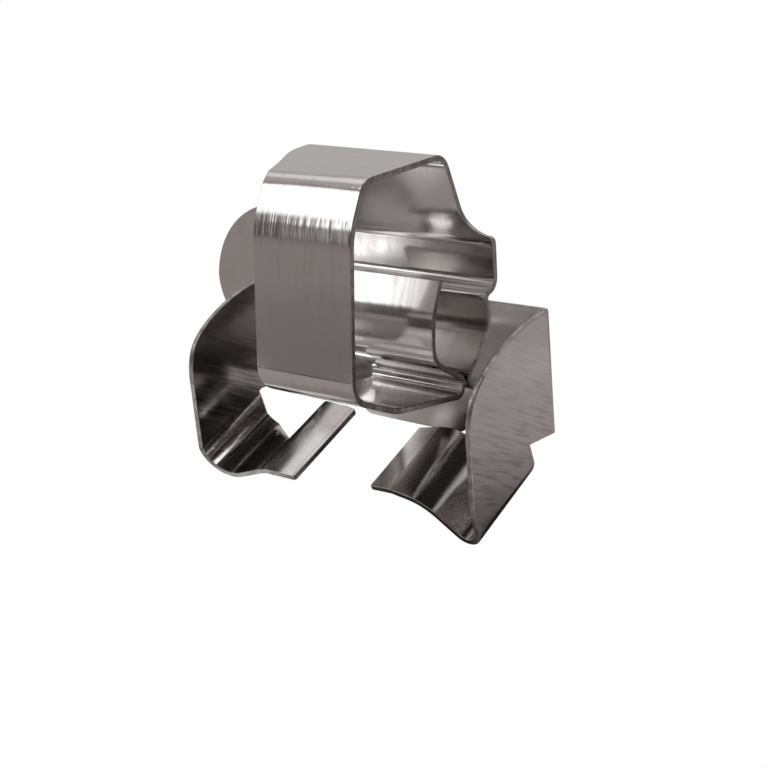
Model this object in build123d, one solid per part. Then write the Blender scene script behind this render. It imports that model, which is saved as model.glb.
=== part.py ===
from build123d import *
from math import atan2, cos, degrees, radians, sin, tan
import os

# Anti-rattle clip for a disc brake: one strip of spring steel, cut out flat and folded.
# Millimetres, +Z up, +X towards the right leg, -Y out of the open front.
# The outside of the loop's front wall is the plane Y = 0, and its strip is centred on X = 0.
# Side outlines are (Y, Z) points on the middle of the sheet, front outlines are (X, Z).

SHEET = 0.5                 # thickness of the steel

# Loop, seen from the side: the free tab inside it, the hairpin, the floor, the front wall
# and the crown
STRIP_WIDTH = 10.0
TAB_TOP = (12.2, -0.45)
TAB_WAIST = (11.1, -3.6)
TAB_FOOT = (11.2, -7.35)
HAIRPIN_TOP = (15.9, -9.8)
HAIRPIN_LOW = (15.7, -11.3)
FLOOR_KNEE = (5.9, -10.4)
LOOP_BOTTOM_Z = -8.25
WALL_TOP_Z = 4.9
CROWN_FRONT = (1.85, 8.7)
CROWN_REAR = (12.45, 9.84)
WAIST_RADIUS = 5.0
TAB_RADIUS = 2.4
HAIRPIN_RADIUS = 0.78
FLOOR_RADIUS = 7.0
CORNER_RADIUS = 2.3
LEAN_RADIUS = 7.0
CROWN_FRONT_RADIUS = 1.5
CROWN_REAR_RADIUS = 1.7
CROWN_TWIST = 0.42          # rise of the crown's rear bend at its left end

# Left side of the crown, seen from above (X, Y): it widens towards the neck
SHOULDER_X = -8.7
CROWN_FLARE = [(-5.85, 3.7), (-7.6, 7.0), (SHOULDER_X, 10.8)]

# Back of the clip, seen from the side: the neck, the wing, the joint and the plate
WING_TOP = (16.33, 2.6)
WING_LOW = (16.75, -1.3)
PLATE_TOP = (15.2, -1.85)
PLATE_LOW = (17.05, -13.3)
WING_TOP_RADIUS = 2.6
WING_LOW_RADIUS = 1.1
PLATE_TOP_RADIUS = 0.5

# Wing and tongue, seen from the front
FLARE_Z = 5.6               # where the neck starts to widen into the wing
FLARE_MIDDLE = (5.5, 4.0)
WING_X = 7.6
WING_Z = 3.05
WING_CORNER = 0.45
TONGUE_HALF = 5.95
TONGUE_Z = -15.3
TONGUE_CORNER = 1.2

# Ear beyond the left leg, and the arm that carries it, seen from the front
SHOULDER_Z = 7.0
ARM_BEND = (-10.2, 5.2)
ARM_TOP = (-13.4, 4.4)
ARM_ROOT_Z = 4.6            # lower edge of the arm at the neck
ARM_LOW_Z = 0.35            # and at the ear
EAR_BEND_Z = 4.0
EAR_TOP = (-17.35, 4.05)
EAR_BROW = (-22.45, 1.5)
EAR_SIDE = (-25.0, -3.6)
EAR_CHIN = (-22.9, -8.4)
EAR_LOW_Z = -9.9
EAR_FLAT = 2.0              # straight part of the ear's lower edge
EAR_GAP = 0.7               # clear gap between the ear and the left leg

# Legs, seen from the side
BODY_X = -1.4               # middle of the pair of legs
LEG_HALF = 15.2             # from there to the outside of a leg
SIDE_BEND = 0.45            # inside radius of the bends between the plate and the legs
LEG_TOP = (15.0, -2.3)
LEG_TOP_FRONT = (8.2, -4.1)
LEG_SHOULDER = (4.75, -6.35)
LEG_FRONT = (3.38, -10.2)
LEG_SHIN = (4.15, -17.2)
LEG_HEADINGS = [(-1, -0.12), (0.03, -1)]    # direction of the edge at LEG_TOP and LEG_FRONT

# Feet. Each section, square to the slope, runs from heel to tip: distance in from the leg's
# outside, height and bend radius. The heel gives a height and a radius only.
FOOT_SLOPE = 25.0           # rise of the soles towards the rear, in degrees
FOOT_TIP_SETBACK = 1.4      # how far the tip's front corner lies behind the heel's
RIGHT_FOOT = [(-22.0, 1.38), (5.5, -17.75, 5.0), (8.9, -17.6, 2.0), (11.15, -17.95)]
LEFT_FOOT = [(-21.3, 2.7), (6.8, -19.0, 3.0), (10.2, -19.0, 1.2), (11.35, -18.2)]
# Rear edge of each foot from tip to heel: distance in from the leg, and along the slope
RIGHT_HEM = [(11.3, 8.9), (7.7, 9.4), (3.7, 8.5), (1.2, 8.1)]
LEFT_HEM = [(11.4, 9.4), (6.6, 9.4), (6.5, 5.2), (5.0, 6.2), (2.8, 7.7), (1.2, 8.1)]

SPAN = 2 * abs(EAR_SIDE[0])     # reach of the blocks that cut the sheet, past all its edges


def moved_corners(points, heads, shift):
    """Corners of a path after each of its sides is moved to the left by shift."""
    turns = zip([heads[0]] + heads, heads + [heads[-1]])
    corners = []
    for (y, z), (before, after) in zip(points, turns):
        middle, reach = (before + after) / 2, shift / cos((after - before) / 2)
        corners.append((y - reach * sin(middle), z + reach * cos(middle)))
    return corners


def rounded_side(points, radii, shift):
    """Edges of one face of the sheet: a path moved by shift, each corner rounded."""
    heads = [atan2(b[1] - a[1], b[0] - a[0]) for a, b in zip(points, points[1:])]
    moved = moved_corners(points, heads, shift)
    edges, start = [], moved[0]
    for (y, z), before, after, radius in zip(moved[1:-1], heads, heads[1:], radii):
        turn = (after - before + radians(180)) % radians(360) - radians(180)
        side = 1 if turn > 0 else -1
        bend = radius - side * shift
        reach = bend * abs(tan(turn / 2))
        first = (y - reach * cos(before), z - reach * sin(before))
        last = (y + reach * cos(after), z + reach * sin(after))
        centre = (first[0] - side * bend * sin(before), first[1] + side * bend * cos(before))
        halfway = before + turn / 2
        middle = (centre[0] + side * bend * sin(halfway), centre[1] - side * bend * cos(halfway))
        edges += [Line(start, first), ThreePointArc(first, middle, last)]
        start = last
    return edges + [Line(start, moved[-1])]


def strip_face(points, radii):
    """Cut edge of a sheet that follows a path: its outline in the path's plane."""
    left = rounded_side(points, radii, SHEET / 2)
    right = rounded_side(points, radii, -SHEET / 2)
    ends = [Line(left[0] @ 0, right[0] @ 0), Line(left[-1] @ 1, right[-1] @ 1)]
    return make_face(left + right + ends)


def across(face, x_from=-SPAN, x_to=SPAN):
    """Sheet bent along the X axis: a side outline drawn out between two planes."""
    return Pos(x_from, 0, 0) * extrude(Plane.YZ * face, amount=x_to - x_from)


def front_prism(edges):
    """A front outline drawn out through the whole depth."""
    return Pos(0, SPAN, 0) * extrude(Plane.XZ * make_face(edges), amount=2 * SPAN)


def point_at(first, last, z):
    """Point at a height on the line through two side points."""
    share = (z - first[1]) / (last[1] - first[1])
    return (first[0] + share * (last[0] - first[0]), z)


def halfway(first, last):
    """Middle of the line between two side points, where two outlines of the sheet meet."""
    return point_at(first, last, (first[1] + last[1]) / 2)


def back_path(rise, bend_z):
    """Crown and neck with the rear bend raised, then a bend down into the wing's direction."""
    rear = (CROWN_REAR[0], CROWN_REAR[1] + rise)
    bend = point_at(rear, WING_TOP, bend_z)
    end_z = bend_z + EAR_LOW_Z - EAR_TOP[1]
    end = (bend[0] + WING_LOW[0] - WING_TOP[0], bend_z + WING_LOW[1] - WING_TOP[1])
    return [halfway((SHEET / 2, WALL_TOP_Z), CROWN_FRONT), CROWN_FRONT, rear, bend, point_at(bend, end, end_z)]


def crown_block():
    """The sheet from the leaning front over the twisted crown and down through the wing."""
    radii = [CROWN_FRONT_RADIUS, CROWN_REAR_RADIUS, WING_TOP_RADIUS]
    right, left = (strip_face(back_path(rise, WING_TOP[1])[:-1] + [halfway(WING_TOP, WING_LOW)], radii)
                   for rise in (0, CROWN_TWIST))
    return loft([Pos(WING_X, 0, 0) * (Plane.YZ * right), Pos(SHOULDER_X, 0, 0) * (Plane.YZ * left)], ruled=True)


def make_loop():
    """The strip from the free tab round to the leaning part of the front."""
    half = STRIP_WIDTH / 2
    wall_top = (SHEET / 2, WALL_TOP_Z)
    path = [TAB_TOP, TAB_WAIST, TAB_FOOT, HAIRPIN_TOP, HAIRPIN_LOW, FLOOR_KNEE,
            (SHEET / 2, LOOP_BOTTOM_Z), wall_top, halfway(wall_top, CROWN_FRONT)]
    radii = [WAIST_RADIUS, TAB_RADIUS, HAIRPIN_RADIUS, HAIRPIN_RADIUS, FLOOR_RADIUS,
             CORNER_RADIUS, LEAN_RADIUS]
    return across(strip_face(path, radii), -half, half)


def crown_plan():
    """The crown seen from above: the strip's width in front, widened to the left behind."""
    half = STRIP_WIDTH / 2
    start = (-half, CROWN_FRONT[0])
    first = (CROWN_FLARE[0][0] - start[0], CROWN_FLARE[0][1] - start[1])
    side = Spline(start, *CROWN_FLARE, tangents=[first, (0, 1)])
    rest = Polyline(CROWN_FLARE[-1], (SHOULDER_X, SPAN), (SPAN, SPAN), (SPAN, -SPAN), (-half, -SPAN), start)
    return Pos(0, 0, -SPAN) * extrude(make_face([side, rest]), amount=2 * SPAN)


def back_outline():
    """Neck, wing, joint and tongue, seen from the front."""
    half = STRIP_WIDTH / 2
    left, right = BODY_X - TONGUE_HALF, BODY_X + TONGUE_HALF
    shelf = TONGUE_Z + TONGUE_CORNER
    wing_in, wing_low = WING_X - WING_CORNER, WING_Z - WING_CORNER
    return [
        Line((half, SPAN), (half, FLARE_Z)),
        ThreePointArc((half, FLARE_Z), FLARE_MIDDLE, (wing_in, WING_Z)),
        RadiusArc((wing_in, WING_Z), (WING_X, wing_low), WING_CORNER),
        Polyline((WING_X, wing_low), (WING_X, PLATE_LOW[1]), (right, PLATE_LOW[1]), (right, shelf)),
        RadiusArc((right, shelf), (right - TONGUE_CORNER, TONGUE_Z), TONGUE_CORNER),
        Line((right - TONGUE_CORNER, TONGUE_Z), (left + TONGUE_CORNER, TONGUE_Z)),
        RadiusArc((left + TONGUE_CORNER, TONGUE_Z), (left, shelf), TONGUE_CORNER),
        Polyline((left, shelf), (left, PLATE_LOW[1]), (SHOULDER_X, PLATE_LOW[1]),
                 (SHOULDER_X, SPAN), (half, SPAN)),
    ]


def ear_outline():
    """The arm to the left of the neck and the rounded ear at its end, seen from the front."""
    inner = BODY_X - LEG_HALF - EAR_GAP
    flat_end = (inner - EAR_FLAT, EAR_LOW_Z)
    return [
        Polyline((SHOULDER_X, SHOULDER_Z), (SHOULDER_X, ARM_ROOT_Z), (inner, ARM_LOW_Z),
                 (inner, EAR_LOW_Z), flat_end),
        ThreePointArc(flat_end, EAR_CHIN, EAR_SIDE),
        ThreePointArc(EAR_SIDE, EAR_BROW, EAR_TOP),
        Line(EAR_TOP, ARM_TOP),
        ThreePointArc(ARM_TOP, ARM_BEND, (SHOULDER_X, SHOULDER_Z)),
    ]


def make_back():
    """Crown, neck, wing and plate, with the ear parallel to the wing."""
    join = halfway(WING_TOP, WING_LOW)
    plate_end = point_at(PLATE_TOP, PLATE_LOW, TONGUE_Z - SHEET)
    lower = across(strip_face([join, WING_LOW, PLATE_TOP, plate_end], [WING_LOW_RADIUS, PLATE_TOP_RADIUS]))
    ear = across(strip_face(back_path(CROWN_TWIST, EAR_BEND_Z)[2:], [WING_TOP_RADIUS]), x_to=SHOULDER_X)
    body = front_prism(back_outline())
    return (crown_block() & body & crown_plan()) + (lower & body) + (ear & front_prism(ear_outline()))


def leg_outline():
    """Side outline of the legs and of the plate between them."""
    rear = PLATE_LOW[0] + SHEET
    notch = LEG_SHIN[0] + (PLATE_LOW[1] - LEG_SHIN[1]) / tan(radians(FOOT_SLOPE))
    return make_face([
        Line((rear, LEG_TOP[1]), LEG_TOP),
        Spline(LEG_TOP, LEG_TOP_FRONT, LEG_SHOULDER, LEG_FRONT, tangents=LEG_HEADINGS),
        Polyline(LEG_FRONT, LEG_SHIN, (notch, PLATE_LOW[1]), (rear, PLATE_LOW[1]), (rear, LEG_TOP[1])),
    ])


def make_legs():
    """The plate's sides folded forward into the two legs."""
    lean = degrees(atan2(PLATE_LOW[0] - PLATE_TOP[0], PLATE_TOP[1] - PLATE_LOW[1]))
    half = LEG_HALF - SHEET / 2
    bend = SIDE_BEND + SHEET / 2
    section = strip_face([(-half, -SPAN), (-half, 0), (half, 0), (half, -SPAN)], [bend, bend])
    channel = Pos(0, 0, -SPAN) * extrude(section, amount=2 * SPAN)
    return Pos(BODY_X, *PLATE_TOP) * Rot(lean, 0, 0) * channel & across(leg_outline())


def make_foot(side, section, hem):
    """One foot: the leg's lower edge turned inward over the sloping sole."""
    leg = LEG_HALF - SHEET / 2
    slope = radians(FOOT_SLOPE)
    sole = LEG_SHIN[1] * cos(slope) - LEG_SHIN[0] * sin(slope)
    start = LEG_SHIN[0] * cos(slope) + LEG_SHIN[1] * sin(slope)
    rise = (PLATE_LOW[1] - LEG_SHIN[1]) / sin(slope)
    heel, *bends, tip = section
    path = [(leg, sole), (leg, heel[0])] + [(LEG_HALF - d, v) for d, v, *_ in bends + [tip]]
    face = strip_face([(side * x, v) for x, v in path], [heel[1]] + [bend[2] for bend in bends])
    edge = [(LEG_HALF - d, u) for d, u in reversed(hem)]
    outline = Polyline((0, hem[0][1]), (0, FOOT_TIP_SETBACK), (side * LEG_HALF, 0),
                       (side * LEG_HALF, rise), *[(side * x, u) for x, u in edge], close=True)
    foot = extrude(Plane.XZ * face, amount=-SPAN)
    foot &= Pos(0, 0, -SPAN) * extrude(make_face(outline), amount=2 * SPAN)
    return Pos(BODY_X, 0, 0) * Rot(FOOT_SLOPE, 0, 0) * Pos(0, start, 0) * foot


feet = make_foot(1, RIGHT_FOOT, RIGHT_HEM) + make_foot(-1, LEFT_FOOT, LEFT_HEM)
clip = make_loop() + make_back() + make_legs() + feet
clip.label = "clip"
os.makedirs("parts", exist_ok=True)
export_step(clip, "parts/clip.step")
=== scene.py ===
"""Looks for an anti-rattle clip: one strip of bright spring steel, folded and bent.

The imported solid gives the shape. A merged copy stands for it, with rounded cut edges, a left toe
that is laid flat and a map for the steel's grain. A pale studio surrounds it.
"""

import logging
import math
from collections.abc import Sequence
from dataclasses import dataclass
from enum import Enum
from typing import Any

import bmesh
import bpy
from mathutils import Matrix, Vector
from mathutils.bvhtree import BVHTree


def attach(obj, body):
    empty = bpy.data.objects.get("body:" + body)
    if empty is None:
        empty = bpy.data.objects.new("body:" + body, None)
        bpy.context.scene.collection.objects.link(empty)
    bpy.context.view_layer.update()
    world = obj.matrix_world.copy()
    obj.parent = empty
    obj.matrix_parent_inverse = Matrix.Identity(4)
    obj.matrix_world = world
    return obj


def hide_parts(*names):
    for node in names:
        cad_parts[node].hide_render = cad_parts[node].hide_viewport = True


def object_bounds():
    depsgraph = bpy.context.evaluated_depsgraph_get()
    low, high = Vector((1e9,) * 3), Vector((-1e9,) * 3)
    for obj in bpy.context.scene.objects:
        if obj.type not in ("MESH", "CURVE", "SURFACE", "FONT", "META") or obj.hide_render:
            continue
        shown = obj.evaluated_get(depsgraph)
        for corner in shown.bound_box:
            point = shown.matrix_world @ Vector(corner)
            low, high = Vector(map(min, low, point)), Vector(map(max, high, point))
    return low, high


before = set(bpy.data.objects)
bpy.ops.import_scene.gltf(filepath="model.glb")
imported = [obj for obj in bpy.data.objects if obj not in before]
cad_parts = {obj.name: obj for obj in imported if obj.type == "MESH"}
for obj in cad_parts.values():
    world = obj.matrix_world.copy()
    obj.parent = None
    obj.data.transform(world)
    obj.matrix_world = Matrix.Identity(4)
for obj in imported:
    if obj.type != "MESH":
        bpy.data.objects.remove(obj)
CAD_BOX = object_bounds()

LOG = logging.getLogger("clip")
GRAIN_MAP = "grain"
WORK_MAP = "work"
MM = 0.001

Pair = tuple[float, float]
Triple = tuple[float, float, float]

WHITE: Triple = (1.0, 1.0, 1.0)
# An oval patch of light fades from the first to the second of these, as shares of its half size.
SOFT_RIM: Pair = (0.6, 1.4)


class Surface(Enum):
    """The two kinds of surface on the clip, in the order of its material slots."""

    SHEET = 0
    CUT_EDGE = 1


class Value:
    """A number that varies over a surface: an output socket with arithmetic on it."""

    def __init__(self, book: "NodeBook", socket: bpy.types.NodeSocket) -> None:
        """Keep the socket and the book that its maths is written in."""
        self.book = book
        self.socket = socket

    def _maths(self, operation: str, first: "Value | float", second: "Value | float") -> "Value":
        """Add a Math node.

        Args:
            operation: the node's operation.
            first: a Value or a number.
            second: a Value or a number.

        Returns:
            The node's result.
        """
        return self.book.value("ShaderNodeMath", {"operation": operation}, {0: first, 1: second})

    def __add__(self, other: "Value | float") -> "Value":
        """Sum with a Value or a number."""
        return self._maths("ADD", self, other)

    def __radd__(self, other: float) -> "Value":
        """Sum with a number on the left."""
        return self._maths("ADD", other, self)

    def __sub__(self, other: "Value | float") -> "Value":
        """Difference from a Value or a number."""
        return self._maths("SUBTRACT", self, other)

    def __rsub__(self, other: float) -> "Value":
        """A number minus this."""
        return self._maths("SUBTRACT", other, self)

    def __mul__(self, other: "Value | float") -> "Value":
        """Product with a Value or a number."""
        return self._maths("MULTIPLY", self, other)

    def __rmul__(self, other: float) -> "Value":
        """Product with a number on the left."""
        return self._maths("MULTIPLY", other, self)

    def over(self, low: float, high: float) -> "Value":
        """Smooth step from 0 at low to 1 at high.

        Args:
            low: where the step starts.
            high: where it ends.

        Returns:
            A value from 0 to 1.
        """
        return self.book.value(
            "ShaderNodeMapRange",
            {"interpolation_type": "SMOOTHSTEP"},
            {"Value": self, "From Min": low, "From Max": high},
        )


class NodeBook:
    """Writes the nodes of one material or world."""

    def __init__(self, owner: bpy.types.Material | bpy.types.World) -> None:
        """Start with an empty tree.

        Args:
            owner: the material or world that the nodes belong to.
        """
        owner.use_nodes = True
        self.tree = owner.node_tree
        self.tree.nodes.clear()

    def node(
        self, kind: str, settings: dict[str, Any] | None = None, inputs: dict[Any, Any] | None = None
    ) -> bpy.types.Node:
        """Add a node.

        Args:
            kind: the node's type.
            settings: its own properties, set before the sockets.
            inputs: numbers, Values or sockets by the name or number of the input.

        Returns:
            The node.
        """
        made = self.tree.nodes.new(kind)
        for name, setting in (settings or {}).items():
            setattr(made, name, setting)
        for name, given in (inputs or {}).items():
            target = made.inputs[name]
            if isinstance(given, Value):
                self.tree.links.new(given.socket, target)
            elif isinstance(given, bpy.types.NodeSocket):
                self.tree.links.new(given, target)
            else:
                target.default_value = given
        return made

    def value(
        self,
        kind: str,
        settings: dict[str, Any] | None = None,
        inputs: dict[Any, Any] | None = None,
        output: int | str = 0,
    ) -> Value:
        """Add a node and wrap one of its outputs.

        Args:
            kind: the node's type.
            settings: its own properties.
            inputs: values of its sockets.
            output: the name or number of the output.

        Returns:
            The wrapped output.
        """
        return Value(self, self.node(kind, settings, inputs).outputs[output])

    def mix(self, share: Value, first: Any, second: Any) -> bpy.types.NodeSocket:
        """Mix two colours, each a socket or three numbers.

        Args:
            share: how much of the second shows, from 0 to 1.
            first: the colour at 0.
            second: the colour at 1.

        Returns:
            The mixed colour.
        """
        ends = [(*end, 1.0) if isinstance(end, tuple) else end for end in (first, second)]
        inputs = {0: share, 6: ends[0], 7: ends[1]}
        return self.node("ShaderNodeMix", {"data_type": "RGBA"}, inputs).outputs[2]

    def oval(
        self, place: bpy.types.NodeSocket, centre: Triple, turn: float, half_size: Triple
    ) -> Value:
        """Draw an oval patch with a soft rim.

        Args:
            place: the place or direction that varies.
            centre: the patch's middle.
            turn: its turn about Z, in radians.
            half_size: half its size along each of its axes.

        Returns:
            1 in the patch's middle, falling to 0 past its rim.
        """
        laid = self.node(
            "ShaderNodeMapping",
            {"vector_type": "TEXTURE"},
            {"Vector": place, "Location": centre, "Rotation": (0.0, 0.0, turn), "Scale": half_size},
        ).outputs[0]
        reach = self.value("ShaderNodeVectorMath", {"operation": "LENGTH"}, {0: laid}, "Value")
        return 1 - reach.over(*SOFT_RIM)


def round_edges(
    bm: bmesh.types.BMesh, edges: list[bmesh.types.BMEdge], offset: float, segments: int, clamped: bool
) -> None:
    """Round some edges of a mesh.

    Args:
        bm: the mesh.
        edges: the edges to round.
        offset: how far the rounding reaches from each edge.
        segments: its number of segments.
        clamped: whether it stops where two roundings would meet.
    """
    bmesh.ops.bevel(
        bm,
        geom=edges,
        offset=offset,
        offset_type="OFFSET",
        affect="EDGES",
        segments=segments,
        profile=0.5,
        material=-1,
        clamp_overlap=clamped,
    )


def place_object(name: str, data: bpy.types.ID) -> bpy.types.Object:
    """Put a mesh, a lamp or a camera into the scene.

    Args:
        name: the object's name.
        data: what it holds.

    Returns:
        The object, at the origin.
    """
    thing = bpy.data.objects.new(name, data)
    bpy.context.scene.collection.objects.link(thing)
    return thing


def place_mesh(name: str, bm: bmesh.types.BMesh) -> bpy.types.Object:
    """Put a finished bmesh into the scene and free it.

    Args:
        name: the name of the object and of its mesh.
        bm: the bmesh.

    Returns:
        The object, at the origin.
    """
    mesh = bpy.data.meshes.new(name)
    bm.to_mesh(mesh)
    bm.free()
    return place_object(name, mesh)


@dataclass(frozen=True)
class GrainLines:
    """Soft lines or spots in the steel.

    Attributes:
        width: size across the grain, in metres.
        length: size along the grain, in metres.
        detail: how many finer layers are in them.
        offset: where in the noise they lie, so that no two kinds follow each other.
        faint: the height at which they begin to show.
        full: the height at which they show fully.
        roughness: how strong the finer layers are.
    """

    width: float
    length: float
    detail: float
    offset: float
    faint: float
    full: float
    roughness: float = 0.55

    def draw(self, book: NodeBook, grain: bpy.types.NodeSocket) -> Value:
        """Draw the lines.

        Args:
            book: the tree to write in.
            grain: coordinates across and along the grain, in metres.

        Returns:
            Heights from 0 to 1.
        """
        stretched = book.node(
            "ShaderNodeVectorMath",
            {"operation": "MULTIPLY_ADD"},
            {0: grain, 1: (1 / self.width, 1 / self.length, 1.0), 2: (self.offset, self.offset, 0.0)},
        )
        inputs = {
            "Vector": stretched.outputs[0],
            "Scale": 1.0,
            "Detail": self.detail,
            "Roughness": self.roughness,
        }
        return book.value("ShaderNodeTexNoise", {"noise_dimensions": "2D"}, inputs)

    def shown(self, height: Value) -> Value:
        """Share of the lines that shows at a height of theirs, from 0 to 1."""
        return height.over(self.faint, self.full)


@dataclass(frozen=True)
class SpringSteel:
    """Bright rolled strip with fine lines, faint stains and score marks on the lower legs.

    Wear makes the steel duller and rougher, and each kind of line adds its share of it. The
    scoring grows down the legs from one height to the other. The depths are those of the relief.
    """

    name: str = "spring_steel"
    bright: Triple = (0.645, 0.625, 0.615)
    dull: Triple = (0.58, 0.555, 0.545)
    scored: Triple = (0.42, 0.39, 0.38)
    roughness: float = 0.1
    roughness_spread: float = 0.1
    fine: GrainLines = GrainLines(0.09 * MM, 5.0 * MM, 2.0, 3.1, 0.35, 0.75)
    coarse: GrainLines = GrainLines(0.55 * MM, 5.5 * MM, 2.0, 11.7, 0.4, 0.75)
    stains: GrainLines = GrainLines(2.6 * MM, 3.4 * MM, 3.0, 29.3, 0.4, 0.7)
    scores: GrainLines = GrainLines(0.3 * MM, 3.2 * MM, 1.5, 47.9, 0.46, 0.74)
    fine_wear: float = 0.2
    coarse_wear: float = 0.25
    leg_wear: float = 0.4
    stain_wear: float = 0.3
    scored_below: float = -5.0 * MM
    fully_scored: float = -15.0 * MM
    low_scoring: float = 0.8
    high_scoring: float = 0.1
    fine_depth: float = 0.0003 * MM
    coarse_depth: float = 0.0008 * MM
    bend_depth: float = 0.011 * MM
    leg_depth: float = 0.006 * MM

    def build(self) -> bpy.types.Material:
        """Make the material.

        Returns:
            The finished material.
        """
        material = bpy.data.materials.new(self.name)
        book = NodeBook(material)
        grain = book.node("ShaderNodeUVMap", {"uv_map": GRAIN_MAP}).outputs[0]
        worked = book.node("ShaderNodeAttribute", {"attribute_name": WORK_MAP}).outputs["Color"]
        parts = book.node("ShaderNodeSeparateColor", {}, {0: worked}).outputs
        on_bend, on_leg = Value(book, parts[0]), Value(book, parts[1])
        fine, coarse = self.fine.draw(book, grain), self.coarse.draw(book, grain)
        stains, scores = self.stains.draw(book, grain), self.scores.draw(book, grain)

        fine_wear = self.fine.shown(fine) * self.fine_wear
        coarse_wear = self.coarse.shown(coarse) * (on_leg * self.leg_wear + self.coarse_wear)
        wear = fine_wear + coarse_wear + self.stains.shown(stains) * self.stain_wear
        scoring = self.scores.shown(scores) * on_leg * self._scoring_by_height(book)
        colour = book.mix(scoring, book.mix(wear, self.bright, self.dull), self.scored)

        depth = on_bend * self.bend_depth + on_leg * self.leg_depth + self.coarse_depth
        relief = fine * self.fine_depth + coarse * depth
        bump = book.node("ShaderNodeBump", {}, {"Strength": 1.0, "Distance": 1.0, "Height": relief})
        roughness = wear * self.roughness_spread + self.roughness
        shader = book.node(
            "ShaderNodeBsdfPrincipled",
            {},
            {"Base Color": colour, "Metallic": 1.0, "Roughness": roughness, "Normal": bump.outputs[0]},
        )
        book.node("ShaderNodeOutputMaterial", {}, {"Surface": shader.outputs[0]})
        return material

    def _scoring_by_height(self, book: NodeBook) -> Value:
        """Measure how strongly the legs are scored, which is more towards the feet.

        Args:
            book: the tree to write in.

        Returns:
            A share from 0 to 1.
        """
        place = book.node("ShaderNodeTexCoord").outputs["Object"]
        height = book.value("ShaderNodeSeparateXYZ", {}, {0: place}, "Z")
        low = 1 - height.over(self.fully_scored, self.scored_below)
        return low * self.low_scoring + self.high_scoring


@dataclass(frozen=True)
class ShearedEdge:
    """The cut edge of the sheet: duller, with small marks."""

    name: str = "sheared_edge"
    bright: Triple = (0.5, 0.48, 0.47)
    dull: Triple = (0.34, 0.325, 0.315)
    roughness: float = 0.26
    roughness_spread: float = 0.15
    marks: float = 1500.0
    mark_detail: float = 3.0
    mark_levels: Pair = (0.38, 0.66)

    def build(self) -> bpy.types.Material:
        """Make the material.

        Returns:
            The finished material.
        """
        material = bpy.data.materials.new(self.name)
        book = NodeBook(material)
        place = book.node("ShaderNodeTexCoord").outputs["Object"]
        inputs = {"Vector": place, "Scale": self.marks, "Detail": self.mark_detail}
        marks = book.value("ShaderNodeTexNoise", {}, inputs).over(*self.mark_levels)
        colour = book.mix(marks, self.bright, self.dull)
        roughness = marks * self.roughness_spread + self.roughness
        shader = book.node(
            "ShaderNodeBsdfPrincipled",
            {},
            {"Base Color": colour, "Metallic": 1.0, "Roughness": roughness},
        )
        book.node("ShaderNodeOutputMaterial", {}, {"Surface": shader.outputs[0]})
        return material


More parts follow.
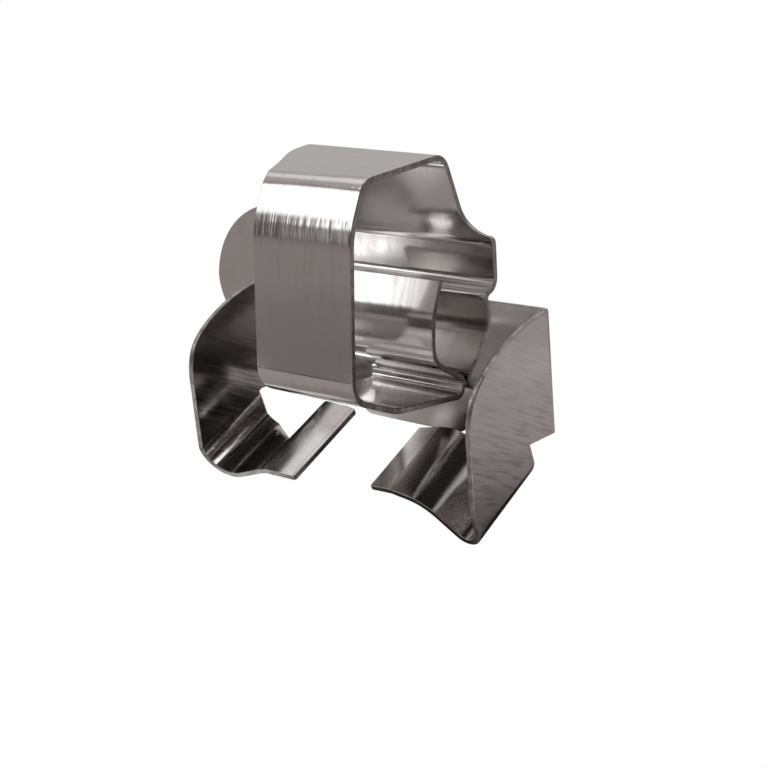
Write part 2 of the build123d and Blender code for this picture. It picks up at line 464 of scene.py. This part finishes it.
@dataclass(frozen=True)
class LeftToe:
    """The inner half of the left foot, pressed flat and with its inner side lowered.

    Places are in the frame of the sloping sole: across the foot, along the sole and above it.

    Attributes:
        slope: how steeply the sole slopes.
        lean: angle by which the inner side is lowered.
        ridge: where across the foot that starts.
        curl_start: middle of the arc of the solid's curled lip, across the foot.
        curl_height: the arc's middle, above the sole.
        curl_radius: radius of the arc.
        curl_turn: angle that the lip turns through before it runs straight.
        pressed: share of the lip's width that is left once it lies flat.
        splay: how far the front end moves forward for each length that the lip loses.
        rear: where along the sole the rear end starts.
        reach: how much further back the rear end is moved.
        slit: where the toe ends beside the outer half.
        far_side: where it ends on the inner side.
        below: height under which the foot's points lie.
        corner: size of its rounded corners.
        corner_segments: number of segments in each.
        corner_upright: least share of a corner's edge that goes straight up.
        corner_past_curl: least distance of a corner from the arc's middle.
        corner_short_of_side: least distance of a corner from the far side.
        corner_span: how far past the rear a corner may be, as a share of the reach.
    """

    slope: float = math.radians(25)
    lean: float = math.radians(5.5)
    ridge: float = -9.29 * MM
    curl_start: float = -6.78 * MM
    curl_height: float = -17.8 * MM
    curl_radius: float = 1.2 * MM
    curl_turn: float = math.radians(34.8)
    pressed: float = 0.27
    splay: float = 0.09
    rear: float = 5.8 * MM
    reach: float = 1.4 * MM
    slit: float = -10.09 * MM
    far_side: float = -5.02 * MM
    below: float = -17.9 * MM
    corner: float = 0.42 * MM
    corner_segments: int = 5
    corner_upright: float = 0.8
    corner_past_curl: float = 0.2 * MM
    corner_short_of_side: float = 0.5 * MM
    corner_span: float = 1.3

    def press(self, bm: bmesh.types.BMesh) -> None:
        """Move the toe's points.

        Args:
            bm: the clip's mesh, merged.
        """
        sole = Matrix.Rotation(-self.slope, 4, "X")
        back = sole.inverted()
        for vert in bm.verts:
            x, along, height = sole @ vert.co
            in_reach = height < self.below and along < self.rear + self.reach
            if not (self.slit < x < self.far_side and in_reach):
                continue
            if x > self.curl_start:
                x, along, height = self._uncurl(x, along, height)
            if x > self.ridge:
                height -= (x - self.ridge) * math.tan(self.lean)
            if along > self.rear:
                along += self.reach
            vert.co = back @ Vector((x, along, height))

    def _uncurl(self, x: float, along: float, height: float) -> Triple:
        """Lay one point of the curled lip flat.

        Args:
            x: across the foot.
            along: along the sole.
            height: above the sole.

        Returns:
            The point's new place.
        """
        across, down = x - self.curl_start, self.curl_height - height
        angle = math.atan2(across, down)
        if angle < self.curl_turn:
            run, off = self.curl_radius * angle, math.hypot(across, down) - self.curl_radius
        else:
            turn = self.curl_turn
            run = self.curl_radius * turn + across * math.cos(turn) - down * math.sin(turn)
            off = across * math.sin(turn) + down * math.cos(turn) - self.curl_radius
        moved = run * self.pressed
        if along < 0.0:
            along -= (across - moved) * self.splay
        return self.curl_start + moved, along, self.curl_height - self.curl_radius - off

    def round_corners(self, bm: bmesh.types.BMesh) -> None:
        """Round the toe's two free corners.

        Args:
            bm: the clip's mesh, with its flat faces merged.
        """
        sole = Matrix.Rotation(-self.slope, 4, "X")
        corners = [e for e in bm.edges if self._is_corner(*(sole @ vert.co for vert in e.verts))]
        LOG.info("left toe: %d corners rounded", len(corners))
        round_edges(bm, corners, self.corner, self.corner_segments, clamped=True)

    def _is_corner(self, one: Vector, other: Vector) -> bool:
        """Tell whether an edge stands through the sheet at one of the toe's free corners.

        Args:
            one: one end of the edge.
            other: its other end.

        Returns:
            True for a corner's edge.
        """
        upright = abs(one.z - other.z) > self.corner_upright * (one - other).length
        inside = min(one.x, other.x) > self.curl_start + self.corner_past_curl
        on_toe = max(one.x, other.x) < self.far_side - self.corner_short_of_side
        low = max(one.z, other.z) < self.below
        in_reach = max(one.y, other.y) < self.rear + self.reach * self.corner_span
        return upright and inside and on_toe and low and in_reach


@dataclass
class FoldedClip:
    """The clip itself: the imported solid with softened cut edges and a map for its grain.

    Attributes:
        solid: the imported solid's object, which stays as it is.
        name: the name of the dressed clip.
        sheet: thickness of the sheet.
        merge: distance within which points are one.
        edge_round: size of the rounding along the cut edges.
        round_segments: number of segments in it.
        ray_start: depth that the thickness is measured from, as a share of the rounding.
        thin_share: the most that counts as the sheet's thickness, as a share of it.
        sharp_angle: angle past which an edge is rounded.
        flat_angle: angle within which faces are one flat.
        sideways: least sideways part of the normal of a leg's face.
        leg_grain: slope of the grain on the legs.
        slope_stretch: how much a length from front to back counts along the grain elsewhere.
        bend_area: area under which a face belongs to a bend.
        foot_height: height above which the bends are worked ones.
        front_end: where the front bends end.
        rear_relief: how strongly the bends behind that are worked.
        shading_weight: how much a large face counts in the shading of its corners.
        toe: the left foot's inner half.
        steel: finish of the sheet's faces.
        edge: finish of its cut edges.
    """

    solid: bpy.types.Object
    name: str = "folded_clip"
    sheet: float = 0.5 * MM
    merge: float = 0.002 * MM
    edge_round: float = 0.08 * MM
    round_segments: int = 3
    ray_start: float = 0.2
    thin_share: float = 1.25
    sharp_angle: float = math.radians(38)
    flat_angle: float = math.radians(0.4)
    sideways: float = 0.7
    leg_grain: float = math.radians(-22)
    slope_stretch: float = 0.6
    bend_area: float = 12.0 * MM * MM
    foot_height: float = -12.0 * MM
    front_end: float = 6.0 * MM
    rear_relief: float = 0.12
    shading_weight: int = 100
    toe: LeftToe = LeftToe()
    steel: SpringSteel = SpringSteel()
    edge: ShearedEdge = ShearedEdge()

    def build(self) -> bpy.types.Object:
        """Make the dressed clip.

        Returns:
            The object that stands for the solid.
        """
        bm = bmesh.new()
        bm.from_mesh(self.solid.data)
        bmesh.ops.remove_doubles(bm, verts=bm.verts, dist=self.merge)
        bmesh.ops.dissolve_degenerate(bm, edges=bm.edges, dist=self.merge)
        self.toe.press(bm)
        bm.normal_update()
        self._sort_surfaces(bm)
        bmesh.ops.dissolve_limit(
            bm, angle_limit=self.flat_angle, verts=bm.verts, edges=bm.edges, delimit={"MATERIAL"}
        )
        self.toe.round_corners(bm)
        sharp = [e for e in bm.edges if e.is_manifold and e.calc_face_angle(0.0) > self.sharp_angle]
        round_edges(bm, sharp, self.edge_round, self.round_segments, clamped=False)
        self._lay_grain(bm)
        clip = place_mesh(self.name, bm)
        finishes = {Surface.SHEET: self.steel, Surface.CUT_EDGE: self.edge}
        for surface in Surface:
            clip.data.materials.append(finishes[surface].build())
        weighted = clip.modifiers.new("shading", "WEIGHTED_NORMAL")
        weighted.mode = "FACE_AREA"
        weighted.weight = self.shading_weight
        return clip

    def _sort_surfaces(self, bm: bmesh.types.BMesh) -> None:
        """Tell the cut edges from the sheet's two faces by the thickness behind them.

        Args:
            bm: the clip's mesh.
        """
        tree = BVHTree.FromBMesh(bm)
        for face in bm.faces:
            face.smooth = True
            inward = -face.normal
            start = face.calc_center_median() + inward * self.edge_round * self.ray_start
            hit = tree.ray_cast(start, inward)[3]
            thin = hit is not None and hit < self.sheet * self.thin_share
            face.material_index = (Surface.SHEET if thin else Surface.CUT_EDGE).value

    def _lay_grain(self, bm: bmesh.types.BMesh) -> None:
        """Write the two maps that the steel reads.

        The grain map holds the place across the grain and along it, in metres. The work map's red
        says how strongly a bend is worked, and its green marks the legs.

        Args:
            bm: the clip's mesh.
        """
        grain = bm.loops.layers.uv.new(GRAIN_MAP)
        work = bm.loops.layers.float_color.new(WORK_MAP)
        cosine, sine = math.cos(self.leg_grain), math.sin(self.leg_grain)
        for face in bm.faces:
            middle = face.calc_center_median()
            on_leg = abs(face.normal.x) > self.sideways
            on_bend = middle.z > self.foot_height and not on_leg and face.calc_area() < self.bend_area
            bend = (1.0 if middle.y < self.front_end else self.rear_relief) * on_bend
            for loop in face.loops:
                x, y, z = loop.vert.co
                loop[work] = (bend, float(on_leg), 0.0, 1.0)
                if on_leg:
                    loop[grain].uv = (z * cosine - y * sine, y * cosine + z * sine)
                else:
                    loop[grain].uv = (x, z + y * self.slope_stretch)


@dataclass(frozen=True)
class SoftBox:
    """A round soft light of the studio, as the steel reflects it.

    Attributes:
        towards: the direction of its middle, of any length.
        start: cosine of the angle from its middle at which it begins.
        full: cosine of the angle at which it is full.
        strength: its brightness.
    """

    towards: Triple
    start: float
    full: float
    strength: float

    def glow(self, book: NodeBook, direction: bpy.types.NodeSocket) -> Value:
        """Brightness that the box adds in each direction.

        Args:
            book: the world's tree.
            direction: the direction looked in.

        Returns:
            The added brightness.
        """
        aim = Vector(self.towards).normalized()
        pair = {0: direction, 1: aim}
        near = book.value("ShaderNodeVectorMath", {"operation": "DOT_PRODUCT"}, pair, "Value")
        return near.over(self.start, self.full) * self.strength


@dataclass(frozen=True)
class StripLight:
    """A tall narrow light, with its place and half its size in degrees round the clip.

    The azimuth is counted from the front, to the right.
    """

    azimuth: float
    elevation: float
    half_width: float
    half_height: float
    strength: float

    def glow(self, book: NodeBook, direction: bpy.types.NodeSocket) -> Value:
        """Brightness that the strip adds in each direction.

        Args:
            book: the world's tree.
            direction: the direction looked in.

        Returns:
            The added brightness.
        """
        turn, rise = math.radians(self.azimuth), math.radians(self.elevation)
        aim = (math.sin(turn) * math.cos(rise), -math.cos(turn) * math.cos(rise), math.sin(rise))
        half_size = (math.radians(self.half_width), 1.0, math.radians(self.half_height))
        return book.oval(direction, aim, turn, half_size) * self.strength


@dataclass(frozen=True)
class PaintedFloorPatch:
    """An oval patch of painted light or painted shade on the floor, as the steel reflects it. Places
    and sizes are in millimetres.
    """

    centre: Pair
    half_size: Pair
    turn: float
    strength: float

    def glow(self, book: NodeBook, place: bpy.types.NodeSocket) -> Value:
        """Painted light that the patch gives at each place of the floor: brightness added, or for a
        shade the share taken away.

        Args:
            book: the floor's tree.
            place: the place on the floor, in metres.

        Returns:
            The added brightness.
        """
        centre = (self.centre[0] * MM, self.centre[1] * MM, 0.0)
        half_size = (self.half_size[0] * MM, self.half_size[1] * MM, 1.0)
        return book.oval(place, centre, math.radians(self.turn), half_size) * self.strength


@dataclass(frozen=True)
class Lamp:
    """A round soft lamp that faces the clip. Its place and width are in metres, its power in watts."""

    name: str
    place: Triple
    width: float
    power: float

    def build(self) -> None:
        """Hang the lamp."""
        data = bpy.data.lights.new(self.name, "AREA")
        data.shape = "DISK"
        data.size = self.width
        data.energy = self.power
        lamp = place_object(self.name, data)
        lamp.location = self.place
        lamp.rotation_euler = Vector(self.place).to_track_quat("Z", "Y").to_euler()
        lamp.visible_camera = False


@dataclass
class Studio:
    """White background, pale floor and soft lights.

    A flag darkens the part of the room that it covers and a painted shade the part of the floor, by
    the share that its strength gives. To the steel the floor shows painted light: its tones are a
    painted shadow of the clip, grey levels by the distance in millimetres from the middle of that
    shadow, and its pools are painted light on it.
    """

    floor_radius: float = 0.9
    floor_segments: int = 96
    floor_gap: float = 0.05 * MM
    floor_colour: Triple = (0.8, 0.8, 0.8)
    warm: Triple = (1.0, 0.89, 0.87)
    warm_levels: Pair = (0.3, 0.7)
    dim: float = 0.08
    boxes: tuple[SoftBox, ...] = (
        # a wide one behind on the left
        SoftBox((-0.6, 0.6, 0.5), -0.08, 0.72, 0.46),
        # a small one in front on the left
        SoftBox((-0.6355, -0.6245, 0.454), 0.989, 0.9976, 1.3),
        # high on the left
        SoftBox((-0.47, 0.171, 0.866), 0.93, 0.98, 0.45),
        # a small one high in front on the left
        SoftBox((-0.481, -0.465, 0.743), 0.985, 0.996, 0.8),
        # high on the right
        SoftBox((0.56, 0.2, 0.8), 0.97, 0.99, 1.2),
        # in front, half way up
        SoftBox((0.09, -0.81, 0.57), 0.88, 0.97, 0.4),
    )
    strips: tuple[StripLight, ...] = (
        StripLight(-39.6, 18.5, 2.0, 5.0, 2.4),
        StripLight(-39.6, 6.0, 1.5, 9.0, 0.5),
    )
    flags: tuple[SoftBox, ...] = (SoftBox((0.12, 0.12, 1.0), 0.86, 0.94, 0.96),)
    # a painted shadow of the clip on the floor, which only the steel sees: dark in the middle, paler
    # further out
    shade_centre: Pair = (6.0 * MM, 14.0 * MM)
    painted_floor_tones: tuple[Pair, ...] = (
        (10.0, 0.02), (12.0, 0.16), (18.0, 0.28), (30.0, 0.4), (45.0, 0.42), (72.0, 0.22),
        (95.0, 0.25), (140.0, 0.32), (300.0, 0.29), (500.0, 0.25),
    )
    # painted pools of light on the floor, which only the steel sees
    painted_light_pools: tuple[PaintedFloorPatch, ...] = (
        # under the clip and close behind it
        PaintedFloorPatch((-14.0, 15.0), (5.0, 3.4), -35.0, 1.0),
        PaintedFloorPatch((-7.0, 11.0), (4.5, 3.0), -35.0, 0.2),
        PaintedFloorPatch((-7.5, 3.0), (3.0, 2.2), -20.0, 0.35),
        PaintedFloorPatch((-13.0, 5.0), (3.5, 2.5), -20.0, 0.4),
        PaintedFloorPatch((-3.6, 10.4), (4.0, 1.1), 62.0, 0.2),
        PaintedFloorPatch((-13.5, 20.5), (5.5, 4.0), 0.0, 1.6),
        # in front of the clip, on the left and on the right
        PaintedFloorPatch((-28.5, -13.0), (12.5, 3.2), 51.0, 0.9),
        PaintedFloorPatch((18.0, -5.0), (6.0, 4.0), -70.0, 0.7),
        PaintedFloorPatch((-48.5, -31.2), (9.0, 2.0), -12.0, 4.2),
        PaintedFloorPatch((-65.0, -26.0), (24.0, 10.0), 53.0, 0.12),
        # far behind on the right
        PaintedFloorPatch((50.0, 76.0), (24.0, 11.0), 64.0, 0.2),
    )
    # painted shade on the floor, which only the steel sees
    shades: tuple[PaintedFloorPatch, ...] = (
        # close behind the clip
        PaintedFloorPatch((0.0, 24.3), (8.0, 5.5), 51.0, 0.92),
        # in front on the left
        PaintedFloorPatch((-26.5, -32.0), (5.0, 4.0), -12.0, 0.85),
        PaintedFloorPatch((-37.0, -27.0), (13.0, 2.6), -12.0, 0.9),
    )
    lamps: tuple[Lamp, ...] = (
        Lamp("key_lamp", (-0.254, -0.25, 0.182), 0.05, 0.006),
        Lamp("fill_lamp", (0.23, 0.12, 0.3), 0.26, 0.08),
    )

    def build(self) -> None:
        """Set the whole studio up around the clip."""
        bpy.context.scene.view_settings.view_transform = "Standard"
        self._world()
        self._floor()
        for lamp in self.lamps:
            lamp.build()

    def _world(self) -> None:
        """Make the world: white to the camera, and a dim room with soft lights to the steel."""
        world = bpy.data.worlds.new("studio")
        bpy.context.scene.world = world
        book = NodeBook(world)
        direction = book.node("ShaderNodeTexCoord").outputs["Generated"]
        level = self._lit(book, direction, self.dim, (*self.boxes, *self.strips), self.flags)
        seen = book.value("ShaderNodeLightPath", output="Is Camera Ray")
        colour = book.mix(seen, self._tinted(book, level), WHITE)
        background = book.node("ShaderNodeBackground", {}, {"Color": colour, "Strength": 1.0})
        book.node("ShaderNodeOutputWorld", {}, {"Surface": background.outputs[0]})

    def _floor(self) -> None:
        """Lay a pale floor just under the clip."""
        bm = bmesh.new()
        bmesh.ops.create_circle(
            bm, cap_ends=True, segments=self.floor_segments, radius=self.floor_radius
        )
        bmesh.ops.translate(bm, verts=bm.verts, vec=(0.0, 0.0, CAD_BOX[0].z - self.floor_gap))
        floor = place_mesh("floor", bm)
        floor.data.materials.append(self._floor_paper())

    def _floor_paper(self) -> bpy.types.Material:
        """Make the floor's material.

        Returns:
            White to the camera, plain paper in the light, and to the steel a glow of painted light:
            the clip's painted shadow, painted pools of light and painted shades.
        """
        material = bpy.data.materials.new("floor_paper")
        book = NodeBook(material)
        place = book.node(
            "ShaderNodeVectorMath",
            {"operation": "MULTIPLY"},
            {0: book.node("ShaderNodeTexCoord").outputs["Object"], 1: (1.0, 1.0, 0.0)},
        ).outputs[0]
        span = {0: place, 1: (*self.shade_centre, 0.0)}
        away = book.value("ShaderNodeVectorMath", {"operation": "DISTANCE"}, span, "Value") * (1 / MM)
        level = self._lit(book, place, self._tones(away), self.painted_light_pools, self.shades)

        paper = book.node("ShaderNodeBsdfDiffuse", {}, {"Color": (*self.floor_colour, 1.0)})
        glow = book.node("ShaderNodeEmission", {}, {"Color": (*WHITE, 1.0), "Strength": 1.0})
        tones = self._tinted(book, level)
        # painted light and shade, an emission that only glossy rays see
        painted_floor_glow = book.node("ShaderNodeEmission", {}, {"Color": tones, "Strength": 1.0})
        surface = paper.outputs[0]
        rays = book.node("ShaderNodeLightPath").outputs
        for ray, shader in ((rays["Is Glossy Ray"], painted_floor_glow), (rays["Is Camera Ray"], glow)):
            ends = {0: ray, 1: surface, 2: shader.outputs[0]}
            surface = book.node("ShaderNodeMixShader", {}, ends).outputs[0]
        book.node("ShaderNodeOutputMaterial", {}, {"Surface": surface})
        return material

    @staticmethod
    def _lit(
        book: NodeBook,
        place: bpy.types.NodeSocket,
        level: Value | float,
        lights: Sequence[SoftBox | StripLight | PaintedFloorPatch],
        covers: Sequence[SoftBox | PaintedFloorPatch],
    ) -> Value:
        """Brighten a grey level by lights and then darken it by covers.

        Args:
            book: the tree to write in.
            place: the direction or place that they lie in.
            level: the grey level before them.
            lights: what adds to it.
            covers: what takes a share of it away.

        Returns:
            The grey level after them.
        """
        for light in lights:
            level = level + light.glow(book, place)
        for cover in covers:
            level = level * (1 - cover.glow(book, place))
        return level

    def _tones(self, away: Value) -> Value:
        """Painted grey level of the floor by its distance from the middle of the clip's painted
        shadow.

        Args:
            away: distance in millimetres.

        Returns:
            The grey level.
        """
        steps = zip(self.painted_floor_tones, self.painted_floor_tones[1:])
        rises = (away.over(near, far) * (last - first) for (near, first), (far, last) in steps)
        return sum(rises, self.painted_floor_tones[0][1])

    def _tinted(self, book: NodeBook, level: Value) -> bpy.types.NodeSocket:
        """Give a grey level the room's tint: warm where it is dark, neutral where it is bright.

        Args:
            book: the tree to write in.
            level: the grey level.

        Returns:
            The colour.
        """
        inputs = {0: book.mix(level.over(*self.warm_levels), self.warm, WHITE), "Scale": level}
        return book.node("ShaderNodeVectorMath", {"operation": "SCALE"}, inputs).outputs[0]


@dataclass(frozen=True)
class ViewCamera:
    """The camera of the photograph."""

    place: Triple = (0.06353, -0.07322, 0.01894)
    right: Triple = (0.798, 0.602, -0.006)
    forward: Triple = (-0.582, 0.769, -0.264)
    focal_pixels: float = 1250.0
    frame_pixels: float = 768.0
    sensor_width: float = 36.0
    nearest: float = 2.0 * MM
    farthest: float = 10.0

    def build(self) -> None:
        """Set the camera up and make it the scene's."""
        data = bpy.data.cameras.new("camera")
        data.sensor_width = self.sensor_width
        data.lens = self.sensor_width * self.focal_pixels / self.frame_pixels
        data.clip_start, data.clip_end = self.nearest, self.farthest
        back = -Vector(self.forward).normalized()
        up = back.cross(Vector(self.right)).normalized()
        turn = Matrix((up.cross(back), up, back)).transposed().to_4x4()
        camera = place_object("camera", data)
        camera.matrix_world = Matrix.Translation(self.place) @ turn
        bpy.context.scene.camera = camera


def clear_defaults() -> None:
    """Remove the objects that a new file starts with."""
    for name in ("Cube", "Light", "Camera"):
        thing = bpy.data.objects.get(name)
        if thing is not None:
            bpy.data.objects.remove(thing)


def main() -> None:
    """Build the clip, the studio and the camera."""
    logging.basicConfig(level=logging.INFO, format="%(message)s")
    clear_defaults()
    clip = FoldedClip(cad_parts["clip"]).build()
    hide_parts("clip")
    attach(clip, "root")
    LOG.info("folded clip: %d faces", len(clip.data.polygons))
    Studio().build()
    LOG.info("studio: floor, world and lamps")
    ViewCamera().build()
    LOG.info("camera: the photograph's view")


if __name__ == "__main__":
    main()
